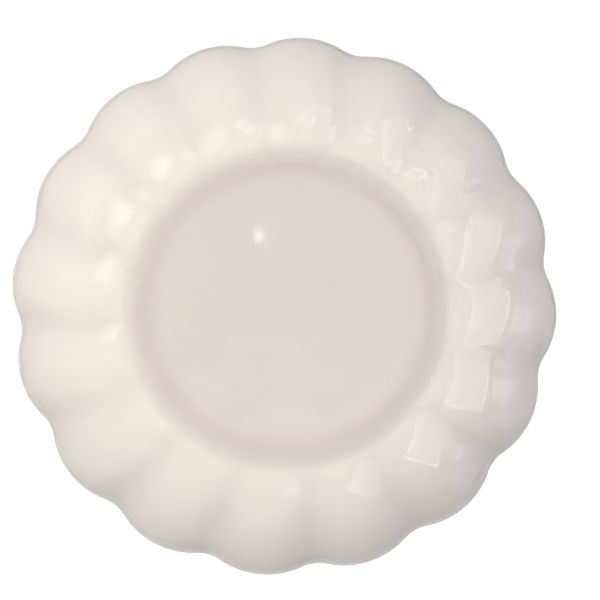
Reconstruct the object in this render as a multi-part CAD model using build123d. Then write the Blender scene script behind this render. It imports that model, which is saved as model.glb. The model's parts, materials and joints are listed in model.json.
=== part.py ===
from build123d import *
import math
import os

# Scalloped dessert plate in millimetres. It stands on its foot ring at z = 0, with +Z up.
# The sizes are those of the finished plate, with its glaze on.

# Rim and wall
RIM_DIAMETER = 203.2       # across two opposite lobe tips
PLATE_HEIGHT = 25.0        # from the table to the top of the lip
LOBE_COUNT = 16
SCALLOP_DEPTH = 3.6        # from lobe tip to notch, seen from above
LOBE_SHARE = 0.77          # share of the outline that the lobe arcs take, the rest being the notches
LIP_THICKNESS = 2.0

# Floor
WELL_DIAMETER = 120.0      # where the flat of the face turns up into the lobes
FLOOR_THICKNESS = 4.0
THINNING_SHARE = 0.05      # share of the wall over which the floor's thickness runs out into the lip's

# Foot ring
FOOT_CLEARANCE = 0.7       # from the edge of the well in to where the outer flank's cove begins
FOOT_WIDTH = 3.0           # across both flanks
FOOT_HEIGHT = 3.0          # from the table to the underside of the floor
FLANK_HEIGHT = 1.2         # straight part of both flanks, up from the table
FOOT_SWEEP = 5.0           # how far the hollow inside the ring runs in under the floor
FOOT_EDGE_ROUND = 0.4      # on both corners of the standing edge

# Glaze
GLAZE_THICKNESS = 0.2
DRY_HEIGHT = 0.9           # bare strip wiped clean of glaze, up from the standing edge

# Places along the wall and over the lip at which an outline is drawn
WALL_STATIONS = 13
LIP_STATIONS = 5

# The face of the wall is one arc that leaves the well level and ends where the round lip begins.
LIP_RADIUS = LIP_THICKNESS / 2
WELL_Z = FOOT_HEIGHT + FLOOR_THICKNESS
WALL_SPAN = (RIM_DIAMETER - WELL_DIAMETER) / 2 - LIP_RADIUS
WALL_RISE = PLATE_HEIGHT - WELL_Z
RIM_SLOPE = 2 * math.atan(WALL_RISE / WALL_SPAN)
FACE_RADIUS = WALL_SPAN / math.sin(RIM_SLOPE) - LIP_RADIUS

# Above its straight part the outer flank curves out by as much as it rises, and the inner one by the sweep.
# The ring hangs under the flat of the floor, so its diameter, over the outer flank, follows the well's.
FOOT_COVE = FOOT_HEIGHT - FLANK_HEIGHT
FOOT_DIAMETER = WELL_DIAMETER - 2 * (FOOT_CLEARANCE + FOOT_COVE)
SWEEP_RADIUS = (FOOT_SWEEP**2 + FOOT_COVE**2) / (2 * FOOT_COVE)


def outline(tip_radius, height, depth):
    """Closed wire at one height: a lobe arc and a notch arc for each lobe, every arc tangent to the next."""
    half_pitch = math.pi / LOBE_COUNT
    tip = Vector(tip_radius, 0)
    notch = Vector(tip_radius - depth, 0).rotate(Axis.Z, math.degrees(half_pitch))
    across = notch - tip

    # The lobe arc turns too far by notch_turn, and the notch arc takes that back.
    lean = math.atan2(-across.X, across.Y)
    notch_turn = 2 * lean - half_pitch * (2 - LOBE_SHARE)
    lobe_turn = half_pitch + notch_turn
    lobe_way = Vector(0, 1).rotate(Axis.Z, math.degrees(lobe_turn / 2))
    notch_way = Vector(0, 1).rotate(Axis.Z, math.degrees(half_pitch + notch_turn / 2))

    # A chord along lobe_way and then one along notch_way lead from the tip to the notch.
    lobe_chord = across.cross(notch_way).Z / lobe_way.cross(notch_way).Z
    joint = tip + lobe_way * lobe_chord
    joint_before = Vector(joint.X, -joint.Y)
    joint_after = joint_before.rotate(Axis.Z, 360 / LOBE_COUNT)
    lobe_arc = Edge.make_three_point_arc(joint_before, tip, joint)
    notch_arc = Edge.make_three_point_arc(joint, notch, joint_after)

    arcs = []
    for lobe in range(LOBE_COUNT):
        place = Location((0, 0, height), (0, 0, lobe * 360 / LOBE_COUNT))
        arcs.append(lobe_arc.moved(place))
        arcs.append(notch_arc.moved(place))
    return Wire(arcs)


def wall_point(share, below):
    """Tip radius and height a share of the way up the wall, a distance below the face."""
    slope = RIM_SLOPE * share
    radius = WELL_DIAMETER / 2 + (FACE_RADIUS + below) * math.sin(slope)
    height = WELL_Z + FACE_RADIUS - (FACE_RADIUS + below) * math.cos(slope)
    return radius, height


def wall_thickness(share):
    """The floor's thickness at the well, easing down to the lip's over the first part of the wall."""
    return LIP_THICKNESS + (FLOOR_THICKNESS - LIP_THICKNESS) * math.exp(-((share / THINNING_SHARE) ** 2))


def lip_point(share, inset):
    """Tip radius and height on the round lip, from the face (share 0) over to the back (share 1)."""
    turn = RIM_SLOPE + math.pi / 2 - math.pi * share
    radius = RIM_DIAMETER / 2 - LIP_RADIUS + (LIP_RADIUS - inset) * math.cos(turn)
    height = PLATE_HEIGHT - LIP_RADIUS + (LIP_RADIUS - inset) * math.sin(turn)
    return radius, height


def dish(inset):
    """The lobed dish without its foot, every surface drawn in by inset."""
    wall_shares = [step / (WALL_STATIONS - 1) for step in range(WALL_STATIONS)]
    lip_shares = [step / (LIP_STATIONS - 1) for step in range(LIP_STATIONS)]
    face_rings = [outline(*wall_point(share, inset), SCALLOP_DEPTH) for share in wall_shares]
    lip_rings = [outline(*lip_point(share, inset), SCALLOP_DEPTH) for share in lip_shares]

    # The back leaves the foot round, and its grooves deepen up to the lip: the wall is thicker at a crease.
    back_rings = []
    for share in wall_shares:
        radius, height = wall_point(share, wall_thickness(share) - inset)
        back_rings.append(outline(radius, height, SCALLOP_DEPTH * share))
    faces = [Face(face_rings[0]), Face(back_rings[0])]
    for rings in (face_rings, lip_rings, back_rings):
        faces.extend(Shell.make_loft(rings).faces())
    return Solid(Shell(faces))


def foot(inset, bottom, corner):
    """The foot ring down to the height bottom, its surfaces drawn in by inset, its lower corners rounded."""
    outside = FOOT_DIAMETER / 2 - inset
    inside = FOOT_DIAMETER / 2 - FOOT_WIDTH + inset
    cove = FOOT_COVE + inset
    root = FOOT_HEIGHT + inset
    core = FOOT_HEIGHT + FLOOR_THICKNESS / 2
    sweep = SWEEP_RADIUS + inset
    sweep_end = inside - inset - FOOT_SWEEP
    flank_top = root - sweep + math.sqrt(sweep**2 - (FOOT_SWEEP + inset) ** 2)
    with BuildSketch(Plane.XZ) as section:
        with BuildLine():
            Polyline((inside, flank_top), (inside, bottom), (outside, bottom), (outside, root - cove))
            RadiusArc((outside, root - cove), (outside + cove, root), cove)
            Polyline((outside + cove, root), (outside, core), (inside, core), (sweep_end, root))
            RadiusArc((sweep_end, root), (inside, flank_top), sweep)
        make_face()
        if corner:
            fillet(section.vertices().group_by(Axis.Z)[0], corner)
    return revolve(section.sketch, Axis.Z)


china_body = dish(GLAZE_THICKNESS) + foot(GLAZE_THICKNESS, 0, FOOT_EDGE_ROUND)
glazed_plate = dish(0) + foot(0, DRY_HEIGHT, 0)

# The foot ring parts the coat of glaze in two: the small patch inside the ring and all the rest.
recess_glaze, glaze_skin = (glazed_plate - china_body).solids().sort_by(SortBy.VOLUME)

os.makedirs("parts", exist_ok=True)
export_step(china_body, "parts/china_body.step")
export_step(glaze_skin, "parts/glaze_skin.step")
export_step(recess_glaze, "parts/recess_glaze.step")
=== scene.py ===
# %% [markdown]
# # A scalloped dessert plate in glazed bone china
#
# The plate is one shell of translucent ivory china, two millimetres thick in its wall and four in its
# floor, with sixteen lobes round the wall and a ring foot under the well. A clear glaze covers all of it
# but the ground edge that it stands on. This lesson builds that shell as one numpy surface, gives it a
# glaze that light can pass through, and lights it softly from below and from the front, which shows how
# thin it is.

# %% Load the CAD frame
import json

import bpy
import numpy as np
from mathutils import Matrix, Vector


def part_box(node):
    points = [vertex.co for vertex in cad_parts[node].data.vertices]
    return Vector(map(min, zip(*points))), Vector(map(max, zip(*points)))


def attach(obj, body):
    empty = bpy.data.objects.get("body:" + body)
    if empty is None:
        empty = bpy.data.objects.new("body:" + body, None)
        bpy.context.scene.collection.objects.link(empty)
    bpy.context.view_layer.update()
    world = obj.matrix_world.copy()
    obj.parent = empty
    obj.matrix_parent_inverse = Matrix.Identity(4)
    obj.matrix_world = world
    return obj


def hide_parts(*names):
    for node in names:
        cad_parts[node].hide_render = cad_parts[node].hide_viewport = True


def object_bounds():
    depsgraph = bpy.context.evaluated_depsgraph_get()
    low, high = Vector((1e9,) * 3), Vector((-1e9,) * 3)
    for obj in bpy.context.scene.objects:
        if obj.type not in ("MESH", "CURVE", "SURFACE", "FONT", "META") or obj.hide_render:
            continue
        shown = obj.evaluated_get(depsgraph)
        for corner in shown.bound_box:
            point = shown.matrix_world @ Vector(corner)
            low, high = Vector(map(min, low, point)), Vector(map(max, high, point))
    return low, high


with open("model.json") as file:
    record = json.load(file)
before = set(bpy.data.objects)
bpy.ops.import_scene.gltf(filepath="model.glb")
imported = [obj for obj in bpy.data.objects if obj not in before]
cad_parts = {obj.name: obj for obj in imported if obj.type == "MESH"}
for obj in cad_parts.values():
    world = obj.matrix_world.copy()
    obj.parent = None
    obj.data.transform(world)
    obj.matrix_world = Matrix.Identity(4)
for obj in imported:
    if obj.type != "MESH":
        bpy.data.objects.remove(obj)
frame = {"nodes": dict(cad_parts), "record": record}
cad_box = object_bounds()
scene = bpy.context.scene
print("CAD box in mm:", np.round(np.array(cad_box) * 1000, 2).tolist())

# %% [markdown]
# ## The sizes
#
# Every outer size is read from the CAD frame, so that the picture and the solids can't drift apart: the
# rim and the height from the whole box, the well and the foot from the faces that the record names as
# mounts, and the dry edge from the lowest point of the glaze. Only the sizes that no box shows are written
# here, in metres.

# %% Read the sizes
mounts = {mount["name"]: mount["pos_m"] for mount in frame["record"]["mounts"]}
rim_radius = cad_box[1][0]
rim_height = cad_box[1][2]
well_height = mounts["well_floor"][2]
foot_radius = mounts["foot_edge"][0]
dry_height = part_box("glaze_skin")[0][2]

lobe_count = 16
scallop_depth = 0.0036
lobe_share = 0.77
lip_thickness = 0.0020
floor_thickness = 0.0040
thinning_share = 0.05
well_radius = 0.0600
foot_width = 0.0030
flank_height = 0.0012
foot_sweep = 0.0050
glaze_thickness = 0.0002

# %% Derive the arcs
foot_height = well_height - floor_thickness
foot_cove = foot_height - flank_height
sweep_radius = (foot_sweep**2 + foot_cove**2) / (2 * foot_cove)
lip_radius = lip_thickness / 2
lip_centre = np.array([rim_radius - lip_radius, rim_height - lip_radius])
wall_span = lip_centre[0] - well_radius
rim_slope = 2 * np.arctan((rim_height - well_height) / wall_span)
face_radius = wall_span / np.sin(rim_slope) - lip_radius
print(f"rim {rim_radius * 2000:.1f} mm across and {rim_height * 1000:.1f} mm high, "
      f"slope {np.degrees(rim_slope):.1f} deg")

# %% [markdown]
# ## The scalloped outline
#
# Seen from above, the rim is a chain of arcs: a bulging arc for each lobe and a small hollow one for each
# notch, every arc tangent to the next. It could be drawn as a curve and swept, but an outline that is a
# plain function of the angle can be used at every height of the wall at once. The function below says how
# far the outline lies inside a circle through the lobe tips.

# %% Outline of lobes and notches
def notch_dip(tip_radius, depth, angle):
    """How far the outline lies inside its tip circle. Within half a lobe, the lobe arc is a circle centred
    on the tip's ray and the notch arc one centred on the notch's ray. The two chords that span the arcs
    add up to the line from tip to notch, and where a ray meets each circle follows from the law of
    cosines. At a small depth the notch arc still bulges outwards, and its radius is negative."""
    half_pitch = np.pi / lobe_count
    tip = np.asarray(tip_radius, float)[..., None]
    notch = tip - np.asarray(depth, float)[..., None]
    across_x = notch * np.cos(half_pitch) - tip
    across_y = notch * np.sin(half_pitch)
    notch_turn = 2 * np.arctan2(-across_x, across_y) - half_pitch * (2 - lobe_share)
    lobe_lean = (half_pitch + notch_turn) / 2
    notch_lean = half_pitch + notch_turn / 2
    spread = np.sin(notch_lean - lobe_lean)
    lobe_chord = (across_x * np.cos(notch_lean) + across_y * np.sin(notch_lean)) / spread
    notch_chord = -(across_x * np.cos(lobe_lean) + across_y * np.sin(lobe_lean)) / spread
    lobe_arc = lobe_chord / (2 * np.sin(lobe_lean))
    notch_arc = notch_chord / (2 * np.sin(notch_turn / 2))
    joint = np.arctan2(lobe_chord * np.cos(lobe_lean), tip - lobe_chord * np.sin(lobe_lean))
    from_tip = np.abs((angle + half_pitch) % (2 * half_pitch) - half_pitch)
    on_lobe = where_ray_meets(tip - lobe_arc, lobe_arc, from_tip)
    on_notch = where_ray_meets(notch + notch_arc, -notch_arc, half_pitch - from_tip)
    return tip - np.where(from_tip < joint, on_lobe, on_notch)


def where_ray_meets(centre, radius, turn):
    """Distance along a ray, turned away from the line through a circle's centre, to the circle: the far
    side for a positive radius and the near side for a negative one."""
    aside = centre * np.sin(turn)
    return centre * np.cos(turn) + np.sign(radius) * np.sqrt(np.maximum(radius**2 - aside**2, 0))


test_dip = notch_dip([rim_radius], [scallop_depth], np.linspace(0, np.pi / lobe_count, 5))
print("dip from tip to notch at the rim, mm:", np.round(test_dip * 1000, 3).tolist())

# %% [markdown]
# ## The profile
#
# Cut through a lobe tip, the glazed plate is one closed line: out along the flat well, up the face of the
# wall, over the round lip, down the back, round the foot ring and in along the recess. The face of the wall
# is one arc that leaves the well level, and the back lies under it by the thickness, which runs out quickly
# from the floor's to the lip's. The foot ring has a small cove outside and a wide shallow hollow inside.
#
# Each stretch is a small array of radius, height and depth, where depth says how deep the notches of that
# row are: easing in towards the edge of the well, full on the face and the lip, none at the foot, and
# growing up the back. So the wall is thicker at a crease than in a lobe, as in any moulded plate.

# %% Kinds of stretches
def smooth_step(low, high, value):
    """0 below low, 1 above high, and the cubic 3t^2 - 2t^3 between them."""
    t = np.clip((value - low) / (high - low), 0, 1)
    return t * t * (3 - 2 * t)


def flat(start, end, height, rows):
    """Level rows from one radius to another."""
    radius = np.linspace(start, end, rows)
    return np.stack([radius, np.full(rows, height), np.zeros(rows)], axis=1)


def arc(centre, radius, start, end, rows):
    """Rows on a circle round centre, from the angle start to the angle end, in degrees."""
    turn = np.radians(np.linspace(start, end, rows))
    across = centre[0] + radius * np.cos(turn)
    return np.stack([across, centre[1] + radius * np.sin(turn), np.zeros(rows)], axis=1)


def wall(share, below, depth):
    """Rows at shares of the way up the wall, a distance below its face. The slope grows evenly with the
    share, and radius and height are the sine and cosine of it on a circle round the face arc's centre."""
    slope = rim_slope * share
    radius = well_radius + (face_radius + below) * np.sin(slope)
    height = well_height + face_radius - (face_radius + below) * np.cos(slope)
    return np.stack([radius, height, depth], axis=1)


# %% The whole profile
well_rows, wall_rows, lip_rows, cove_rows, edge_rows, sweep_rows, recess_rows = 16, 61, 15, 10, 5, 14, 12
lobes_begin = 0.6 * well_radius


def dish_profile():
    """Stretches of the well, the face, the lip and the back, from the middle of the well to the foot."""
    well = flat(0, well_radius, well_height, well_rows)
    well[:, 2] = scallop_depth * smooth_step(lobes_begin, well_radius, well[:, 0])
    share = np.linspace(0, 1, wall_rows)
    face = wall(share, 0, np.full_like(share, scallop_depth))[1:]
    thinning = np.exp(-((share / thinning_share) ** 2))
    thickness = lip_thickness + (floor_thickness - lip_thickness) * thinning
    back = wall(share, thickness, scallop_depth * share)[::-1]
    lip_end = np.degrees(rim_slope)
    lip = arc(lip_centre, lip_radius, lip_end + 90, lip_end - 90, lip_rows)[1:-1]
    lip[:, 2] = scallop_depth
    return [well, face, lip, back]


def foot_profile():
    """Stretches round the glazed part of the foot ring, from the back to the middle of the recess."""
    outside = foot_radius + foot_width / 2
    inside = foot_radius - foot_width / 2
    edge_height = dry_height + glaze_thickness
    cove = arc((outside + foot_cove, flank_height), foot_cove, 90, 180, cove_rows)[1:]
    outer_edge = arc((outside - glaze_thickness, edge_height), glaze_thickness, 0, -90, edge_rows)
    inner_edge = arc((inside + glaze_thickness, edge_height), glaze_thickness, 270, 180, edge_rows)
    sweep_start = np.degrees(np.arccos(foot_sweep / sweep_radius))
    sweep_end = inside - foot_sweep
    sweep = arc((sweep_end, foot_height - sweep_radius), sweep_radius, sweep_start, 90, sweep_rows)
    recess = flat(sweep_end, 0, foot_height, recess_rows)[1:]
    return [cove, outer_edge, inner_edge, sweep, recess]


glazed = np.concatenate(dish_profile() + foot_profile())
print("profile rows:", len(glazed), "lowest", round(glazed[:, 1].min() * 1000, 2), "mm")

# %% [markdown]
# ## From profile to closed mesh
#
# A Screw or Spin modifier would turn the profile, but it can only make round things. Here the profile is
# carried round by hand: rows of the grid are profile points, columns are angles, and each row is pulled in
# by its share of the outline's dip. The columns wrap round, which leaves no seam. The first and last row lie
# on the axis, so each becomes a single point with a fan of triangles.

# %% Mesh helpers
columns = lobe_count * 30
column_angles = np.arange(columns) * 2 * np.pi / columns


def carried_round(profile):
    """Grid of points: radius and height of each profile row at each angle, less that row's dip."""
    radius, height, depth = profile.T
    dip = notch_dip(np.maximum(radius, well_radius), depth, column_angles)
    across = radius[:, None] - np.where(depth[:, None] > 0, dip, 0)
    return np.stack([across * np.cos(column_angles), across * np.sin(column_angles),
                     np.broadcast_to(height[:, None], across.shape)], axis=2)


def grid_quads(rows):
    """Corner numbers of every quad between neighbouring rows and columns, the columns wrapping round."""
    row = np.arange(rows - 1)[:, None] * columns
    column = np.arange(columns)[None, :]
    next_column = (column + 1) % columns
    corners = [row + column, row + columns + column, row + columns + next_column, row + next_column]
    return np.stack(corners, axis=2).reshape(-1, 4)


def solid_piece(name, points, faces, material):
    """A smooth-shaded object at the origin from points and faces."""
    mesh = bpy.data.meshes.new(name)
    mesh.from_pydata(points, [], faces)
    mesh.update()
    mesh.polygons.foreach_set("use_smooth", np.ones(len(mesh.polygons), bool))
    mesh.materials.append(material)
    piece = bpy.data.objects.new(name, mesh)
    scene.collection.objects.link(piece)
    print(f"{name}: {len(mesh.vertices)} points, {len(mesh.polygons)} faces")
    return piece

# %% [markdown]
# ## The glaze
#
# Bone china is white clay with enough glass in it that light soaks in, scatters and comes out again, also
# on the other side, so thin walls glow and thick places such as the foot ring stay darker. A translucent
# shader on a sheet would show no thickness. The Principled shader's subsurface part walks light through the
# closed mesh, so the modelled walls decide what glows. The glaze on top is smooth glass: a low roughness
# with a faint unevenness, slow waves in the surface from the firing, and a slightly cloudy ivory tint.

# %% Node helpers
def new_material(name):
    """A node tree that holds only its Principled shader, already wired to the output."""
    material = bpy.data.materials.new(name)
    material.use_nodes = True
    tree = material.node_tree
    return material, tree, tree.nodes["Principled BSDF"]


def noise(tree, scale, detail):
    """Noise on object coordinates, in features per metre, so it stays put on the piece at its real size."""
    place = tree.nodes.new("ShaderNodeTexCoord")
    texture = tree.nodes.new("ShaderNodeTexNoise")
    texture.inputs["Scale"].default_value = scale
    texture.inputs["Detail"].default_value = detail
    tree.links.new(place.outputs["Object"], texture.inputs["Vector"])
    return texture.outputs["Fac"]


def between(tree, value, low, high):
    """Maps a noise, which stays near the middle, from its usual 0.3 to 0.7 onto low to high."""
    node = tree.nodes.new("ShaderNodeMapRange")
    node.inputs["From Min"].default_value = 0.3
    node.inputs["From Max"].default_value = 0.7
    node.inputs["To Min"].default_value = low
    node.inputs["To Max"].default_value = high
    tree.links.new(value, node.inputs["Value"])
    return node.outputs["Result"]


def tint(tree, value, first, second):
    """A colour between two others, chosen by a noise."""
    node = tree.nodes.new("ShaderNodeMix")
    node.data_type = "RGBA"
    node.inputs["A"].default_value = (*first, 1)
    node.inputs["B"].default_value = (*second, 1)
    tree.links.new(between(tree, value, 0, 1), node.inputs["Factor"])
    return node.outputs["Result"]


def bumps(tree, value, height, onto=None):
    """Raises the surface by up to height metres where the noise is high, on top of earlier bumps if any."""
    node = tree.nodes.new("ShaderNodeBump")
    node.inputs["Distance"].default_value = height
    tree.links.new(value, node.inputs["Height"])
    if onto:
        tree.links.new(onto, node.inputs["Normal"])
    return node.outputs["Normal"]


# %% Ivory glaze
ivory_glaze, tree, shader = new_material("ivory_glaze")
ivory = tint(tree, noise(tree, 22, 4), (0.868, 0.768, 0.718), (0.892, 0.792, 0.742))
waves = bumps(tree, noise(tree, 45, 1), 0.00006)
ripples = bumps(tree, noise(tree, 240, 1), 0.000008, waves)
tree.links.new(ivory, shader.inputs["Base Color"])
tree.links.new(between(tree, noise(tree, 90, 3), 0.02, 0.05), shader.inputs["Roughness"])
tree.links.new(ripples, shader.inputs["Normal"])
shader.inputs["IOR"].default_value = 1.5
shader.inputs["Subsurface Weight"].default_value = 1.0
shader.inputs["Subsurface Radius"].default_value = (1.0, 1.0, 1.0)
shader.inputs["Subsurface Scale"].default_value = 0.016
print("ivory_glaze nodes:", len(tree.nodes))

# %% [markdown]
# ## The glazed plate
#
# The glaze is what shows almost everywhere, so one closed surface at the outside of the glaze stands for
# both of its CAD coats. The china body stays as its CAD solid inside, and comes out only at the dry edge of
# the foot.

# %% Glazed plate
grid = carried_round(glazed)
rings = len(grid) - 2
well_middle, recess_middle = rings * columns, rings * columns + 1
points = np.concatenate([grid[1:-1].reshape(-1, 3), grid[0, :1], grid[-1, :1]])
around = np.arange(columns)
onward = (around + 1) % columns
last_ring = (rings - 1) * columns
well_fan = np.stack([np.full(columns, well_middle), around, onward], axis=1)
recess_fan = np.stack([np.full(columns, recess_middle), last_ring + onward, last_ring + around], axis=1)
faces = grid_quads(rings).tolist() + well_fan.tolist() + recess_fan.tolist()
glazed_plate = solid_piece("glazed_plate", points, faces, ivory_glaze)
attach(glazed_plate, "root")
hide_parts("glaze_skin", "recess_glaze")

# %% [markdown]
# ## The dry foot edge
#
# Before the last firing the glaze is wiped off the foot so that the plate doesn't stick to the kiln shelf,
# and afterwards the edge is ground smooth. The bare china there is matt, a little warmer than the glaze, and
# has the fine tooth of a ground surface. The CAD body has the right shape, so it only gets this finish. The
# glaze's shader already stands for light inside the whole plate, so the body inside it casts no shadow and
# blocks no light.

# %% Bare china
bare_china, tree, shader = new_material("bare_china")
biscuit = tint(tree, noise(tree, 900, 4), (0.80, 0.735, 0.655), (0.87, 0.81, 0.735))
tree.links.new(biscuit, shader.inputs["Base Color"])
tree.links.new(between(tree, noise(tree, 1500, 2), 0.62, 0.82), shader.inputs["Roughness"])
tree.links.new(bumps(tree, noise(tree, 3200, 3), 0.00004), shader.inputs["Normal"])
china_body = frame["nodes"]["china_body"]
china_body.data.materials.clear()
china_body.data.materials.append(bare_china)
china_body.visible_shadow = False
china_body.visible_diffuse = False
print("bare_china on china_body, nodes:", len(tree.nodes))

# %% [markdown]
# ## The camera
#
# The plate is seen nearly face on, leaning back by nine and a half degrees and turned by a few. In the
# picture its rim fits a scalloped outline whose centre lies a little left of the middle and 273 pixels from
# its lobe tips, and the far lobes are smaller by an amount that puts the lens about four and a half rim
# radii away: the nearness is one over that. Those readings give the camera's axes and place, and no shift is
# needed.

# %% Camera
picture_pixels = 600
centre_pixel = np.array([283.8, 296.6])
tip_pixels, nearness = 272.6, 0.22
focal_pixels = tip_pixels / nearness
turn, lean_side, lean_back = np.radians([4.65, -0.1, 9.5])

swing = np.array([[np.cos(turn), -np.sin(turn), 0], [np.sin(turn), np.cos(turn), 0], [0, 0, 1]])
right = swing @ [np.cos(lean_side), 0, np.sin(lean_side)]
toward = swing @ [-np.cos(lean_back) * np.sin(lean_side), -np.sin(lean_back),
                  np.cos(lean_back) * np.cos(lean_side)]
up = np.cross(toward, right)
rim_centre = np.array([0, 0, lip_centre[1]])
offset = rim_radius * (centre_pixel - picture_pixels / 2) / tip_pixels
eye = rim_centre - offset[0] * right + offset[1] * up + toward * rim_radius / nearness

camera = bpy.data.objects.new("camera", bpy.data.cameras.new("camera"))
camera.data.lens = camera.data.sensor_width * focal_pixels / picture_pixels
camera_axes = Matrix(np.stack([right, up, toward], axis=1).tolist())
camera.matrix_world = Matrix.LocRotScale(Vector(eye), camera_axes.to_quaternion(), None)
scene.collection.objects.link(camera)
scene.camera = camera
print("camera at", np.round(eye, 4).tolist(), "lens", round(camera.data.lens, 2))

# %% [markdown]
# ## The floor
#
# The plate stands on a sheet of milk glass. For the eye and in reflections the sheet is plain white and
# keeps the plate's soft shadow, with a darker shade where the foot comes close to it. Light from softboxes
# under it comes up through it and through the china, so every other kind of ray passes it. A Light Path node
# tells the kinds of rays apart, and an Ambient Occlusion node finds the places that are close to the foot.

# %% Light path switch
def seen_ray(tree):
    """1 for rays that show the surroundings to the eye, straight on, mirrored or through glass, else 0."""
    path = tree.nodes.new("ShaderNodeLightPath")
    seen = path.outputs["Is Camera Ray"]
    for kind in ("Is Glossy Ray", "Is Transmission Ray"):
        either = tree.nodes.new("ShaderNodeMath")
        either.operation = "MAXIMUM"
        tree.links.new(seen, either.inputs[0])
        tree.links.new(path.outputs[kind], either.inputs[1])
        seen = either.outputs["Value"]
    return seen


# %% Milk glass
milk_glass, tree, sheet = new_material("milk_glass")
sheet.inputs["Base Color"].default_value = (0.5, 0.5, 0.5, 1)
sheet.inputs["Roughness"].default_value = 1.0
sheet.inputs["Specular IOR Level"].default_value = 0.0
sheet.inputs["Emission Strength"].default_value = 0.82
contact = tree.nodes.new("ShaderNodeAmbientOcclusion")
contact.inputs["Distance"].default_value = 0.012
tree.links.new(contact.outputs["Color"], sheet.inputs["Emission Color"])
clear = tree.nodes.new("ShaderNodeBsdfTransparent")
pick = tree.nodes.new("ShaderNodeMixShader")
tree.links.new(seen_ray(tree), pick.inputs["Fac"])
tree.links.new(clear.outputs["BSDF"], pick.inputs[1])
tree.links.new(sheet.outputs["BSDF"], pick.inputs[2])
tree.links.new(pick.outputs["Shader"], tree.nodes["Material Output"].inputs["Surface"])
print("milk_glass nodes:", len(tree.nodes))

# %% Floor
reach, level = 20.0, -0.00005
corners = [(-reach, -reach, level), (reach, -reach, level), (reach, reach, level), (-reach, reach, level)]
floor_mesh = bpy.data.meshes.new("floor")
floor_mesh.from_pydata(corners, [], [(0, 1, 2, 3)])
floor_mesh.materials.append(milk_glass)
floor = bpy.data.objects.new("floor", floor_mesh)
scene.collection.objects.link(floor)
print("floor", 2 * reach, "m wide")

# %% [markdown]
# ## The light
#
# The room has pale walls and a dim ceiling, so the sloping lobes mirror more of it than the level well does.
# Its shades hang on height alone: a ramp that runs from 0 straight down over 0.5 at the horizon to 1 straight
# up. Three softboxes do the lighting: a warm one straight under the glass, another under it to the upper
# left, so that the walls that lean that way glow most, and a cool one in front. All else only shows in the
# glaze: framed windows and a strip of sky on the left, a lantern on the right, and a small bulb for the round
# spark in the well.

# %% Room shades
world = bpy.data.worlds.new("room")
scene.world = world
world.use_nodes = True
tree = world.node_tree
background = tree.nodes["Background"]
direction = tree.nodes.new("ShaderNodeTexCoord")
parts = tree.nodes.new("ShaderNodeSeparateXYZ")
height = tree.nodes.new("ShaderNodeMapRange")
height.inputs["From Min"].default_value = -1.0
shades = tree.nodes.new("ShaderNodeValToRGB")
tree.links.new(direction.outputs["Generated"], parts.inputs["Vector"])
tree.links.new(parts.outputs["Z"], height.inputs["Value"])
tree.links.new(height.outputs["Result"], shades.inputs["Fac"])
tree.links.new(shades.outputs["Color"], background.inputs["Color"])
stops = shades.color_ramp.elements
for place, grey in ((0.46, 0.4), (0.50, 1.0), (0.87, 1.0), (0.95, 0.3)):
    stops.new(place).color = (grey, grey, grey, 1)
stops.remove(stops[-1])
stops.remove(stops[0])
print("room shades:", [(round(stop.position, 2), round(stop.color[0], 2)) for stop in stops])

# %% Room strength
strength = tree.nodes.new("ShaderNodeMapRange")
strength.inputs["To Min"].default_value = 0.23
tree.links.new(seen_ray(tree), strength.inputs["Value"])
tree.links.new(strength.outputs["Result"], background.inputs["Strength"])
print("room strength:", round(strength.inputs["To Min"].default_value, 2), "as light and 1 as seen")


# %% Softboxes
def lamp(name, place, size, radiance, colour, lights, target=(0, 0, 0)):
    """A rectangular area lamp facing target, with the given radiance all over it. It either lights the
    plate or only shows in the glaze, so that light and reflections can be set apart from each other."""
    data = bpy.data.lights.new(name, "AREA")
    data.shape = "RECTANGLE"
    data.size, data.size_y = size
    data.energy = radiance * np.pi * size[0] * size[1]
    data.color = colour
    thing = bpy.data.objects.new(name, data)
    thing.location = place
    thing.rotation_euler = (Vector(target) - Vector(place)).to_track_quat("-Z", "Y").to_euler()
    thing.visible_camera = False
    thing.visible_diffuse = lights
    thing.visible_glossy = not lights
    scene.collection.objects.link(thing)
    print(f"{name}: {size[0]:.3f} x {size[1]:.3f} m, radiance {radiance}")
    return thing


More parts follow.
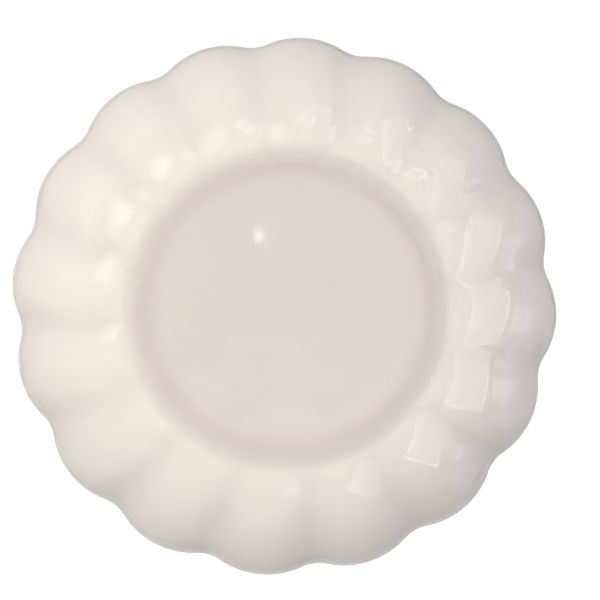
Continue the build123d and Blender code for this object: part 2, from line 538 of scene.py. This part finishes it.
white, warm, cool = (1, 1, 1), (1, 0.936, 0.776), (0.955, 0.893, 1)
lamp("under_softbox", (0, 0, -0.8), (0.5, 0.5), 6.35, warm, True)
lamp("side_softbox", (-0.472, 0.128, -0.637), (0.5, 0.5), 4.7, warm, True)
lamp("front_softbox", (0.185, -0.437, 0.823), (0.9, 0.9), 2.0, cool, True)

# %% Lantern and sky
sky_blue = (0.50, 0.42, 1)
lamp("lantern", (0.70, -0.06, 2.91), (0.75, 0.70), 1.9, white, False)
lamp("sky", (-0.837, 0.144, 0.30), (1.2, 0.42), 1.5, sky_blue, False)

# %% Framed windows
pane_tint, bar_gap = (0.85, 0.9, 1), 0.005


def framed_window(name, place, size, pane, bars, width):
    """One lamp for the pane and four thin ones in front of its edges, stepped off along the pane's axes."""
    middle = lamp(name, place, size, pane, pane_tint, False)
    axes = np.array(middle.rotation_euler.to_matrix())
    for axis in (0, 1):
        bar = [width, width]
        bar[1 - axis] = size[1 - axis]
        for side in (-1, 1):
            centre = place + axes[:, axis] * side * size[axis] / 2 - axes[:, 2] * bar_gap
            lamp(f"{name}_bar_{axis}_{side}", centre, bar, bars, white, False, centre - axes[:, 2])


framed_window("window", np.array([-0.435, 0.09, 0.78]), (0.80, 0.42), 1.15, 6.0, 0.011)
framed_window("hatch", np.array([-0.095, -0.13, 0.885]), (0.12, 0.14), 1.2, 6.0, 0.010)
framed_window("low_window", np.array([-0.72, 0.18, 0.505]), (0.30, 0.22), 1.3, 4.0, 0.010)


# %% Bulb
def mirror_place(pixel, distance):
    """Where a light must be so that the level well mirrors it at a pixel of the picture: the line of sight
    meets the well, turns back upwards at the same angle, and runs on for the distance."""
    middle = picture_pixels / 2
    sight = (right * (pixel[0] - middle) + up * (middle - pixel[1])) / focal_pixels - toward
    spot = eye + sight * (well_height - eye[2]) / sight[2]
    sight = sight / np.linalg.norm(sight)
    return spot + sight * [1, 1, -1] * distance, spot


bulb_place, bulb_spot = mirror_place((258, 236), 0.8)
lamp("bulb", bulb_place, (0.014, 0.014), 4.4, white, False, bulb_spot).data.shape = "DISK"

# %% Finish
scene.view_settings.view_transform = "Standard"
bpy.context.view_layer.update()
